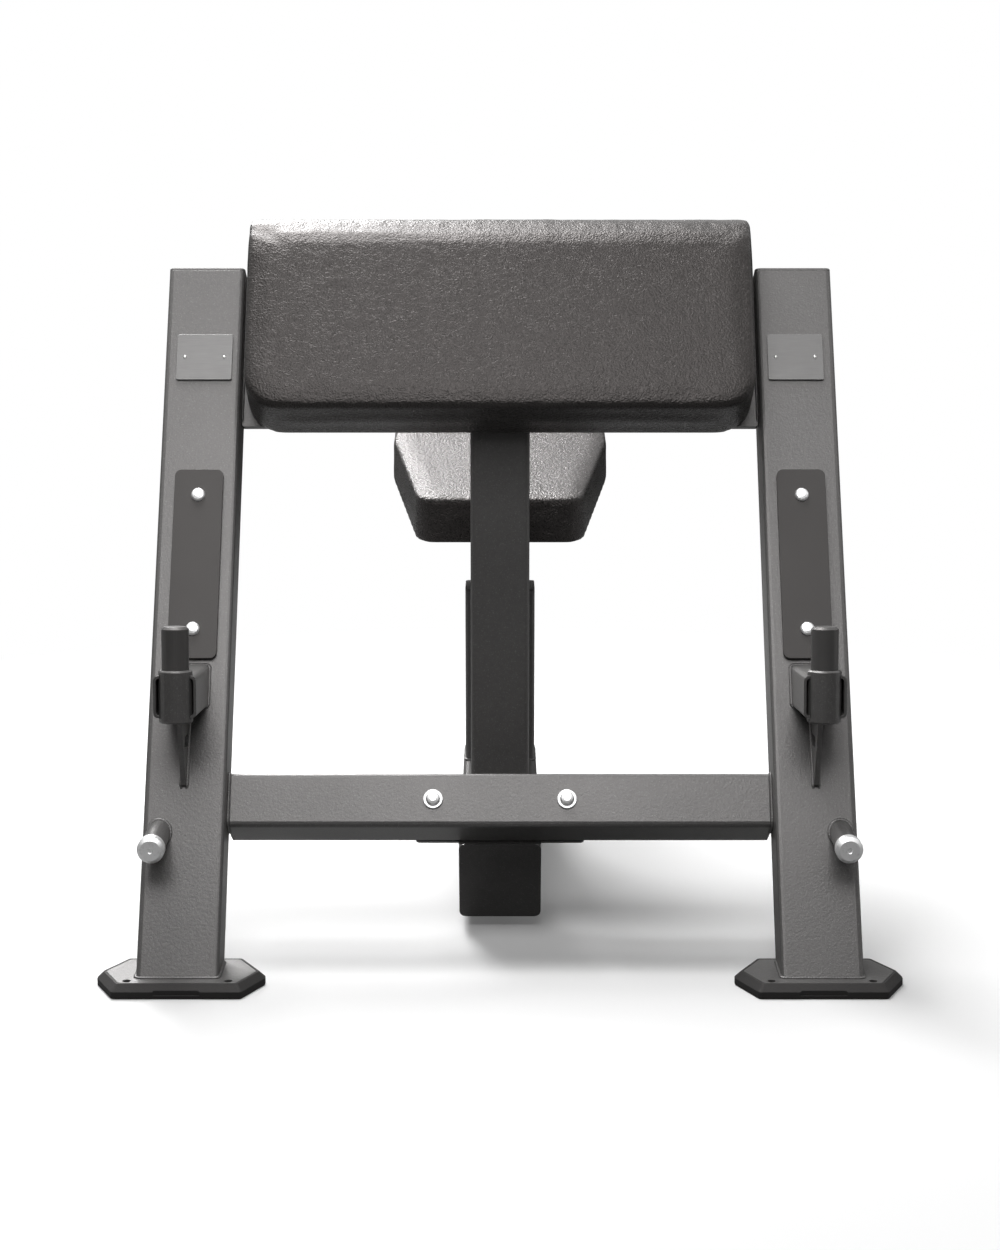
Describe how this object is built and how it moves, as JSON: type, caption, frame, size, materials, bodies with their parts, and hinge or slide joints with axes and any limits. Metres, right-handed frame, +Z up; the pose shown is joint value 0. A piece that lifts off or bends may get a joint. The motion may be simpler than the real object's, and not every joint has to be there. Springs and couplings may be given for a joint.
{
  "type": "preacher bench",
  "caption": "Free-standing preacher curl bench with a sloped arm pad, a seat that locks at several heights, and a catch on each leg for a bar.",
  "frame": {"origin": "the floor, under the middle of the bench's bounding box", "axes": "+X to the right seen from the lifting side's far end (the picture's camera), +Y towards the seat, +Z up"},
  "size_m": [0.9466, 0.892, 0.8685],
  "materials": {
    "powder_coat": "fine satin powder coat",
    "vinyl": "grained upholstery vinyl, low sheen",
    "plywood": "black backed board",
    "rubber": "moulded, matt",
    "guard_plastic": "wear strip, matt",
    "black_plastic": "moulded nylon, satin",
    "chrome": "polished",
    "zinc_steel": "zinc plated",
    "badge_plate": "bare anodised plate"
  },
  "bodies": {
    "frame": {"arm_pad": "vinyl", "arm_pad_board": "plywood", "badge_left": "badge_plate", "badge_right": "badge_plate", "base_spine": "powder_coat", "boot_front_left": "rubber", "boot_front_right": "rubber", "boot_rear_left": "rubber", "boot_rear_right": "rubber", "catch_arm_left": "powder_coat", "catch_arm_right": "powder_coat", "catch_gusset_left": "powder_coat", "catch_gusset_right": "powder_coat", "catch_post_left": "black_plastic", "catch_post_right": "black_plastic", "catch_sleeve_left": "powder_coat", "catch_sleeve_right": "powder_coat", "center_post": "powder_coat", "cross_plate": "powder_coat", "crossbar": "powder_coat", "crossbar_bolt_left": "chrome", "crossbar_bolt_right": "chrome", "crossbar_end_left": "powder_coat", "crossbar_end_right": "powder_coat", "crossbar_washer_left": "chrome", "crossbar_washer_right": "chrome", "foot_plate_front_left": "powder_coat", "foot_plate_front_right": "powder_coat", "foot_plate_rear_left": "powder_coat", "foot_plate_rear_right": "powder_coat", "guard_bolt_left_high": "chrome", "guard_bolt_left_low": "chrome", "guard_bolt_right_high": "chrome", "guard_bolt_right_low": "chrome", "guard_left": "guard_plastic", "guard_right": "guard_plastic", "leg_cap_left": "powder_coat", "leg_cap_right": "powder_coat", "leg_left": "powder_coat", "leg_right": "powder_coat", "peg_cap_left": "chrome", "peg_cap_right": "chrome", "peg_left": "powder_coat", "peg_right": "powder_coat", "pin_housing": "zinc_steel", "rear_bar_plug_left": "black_plastic", "rear_bar_plug_right": "black_plastic", "rear_foot_bar": "powder_coat", "seat_sleeve": "powder_coat", "seat_sleeve_bushing": "black_plastic", "spine_flange": "powder_coat", "spine_front_plate": "powder_coat", "spine_rear_plate": "powder_coat"},
    "seat": {"seat_stem": "powder_coat", "seat_bracket": "powder_coat", "seat_board": "plywood", "seat_cushion": "vinyl"},
    "pin": {"pin_shaft": "zinc_steel", "pin_knob": "black_plastic", "pin_spring": "zinc_steel"}
  },
  "joints": [
    {"name": "seat_height", "type": "slide", "parent": "frame", "child": "seat", "axis": [0, 0, 1], "range_m": [-0.05, 0.1]},
    {"name": "pin_pull", "type": "slide", "parent": "frame", "child": "pin", "axis": [0, 1, 0], "range_m": [0, 0.0135], "stiffness_N_per_m": 900, "springref_m": -0.004, "deforming": ["pin_spring"]}
  ]
}
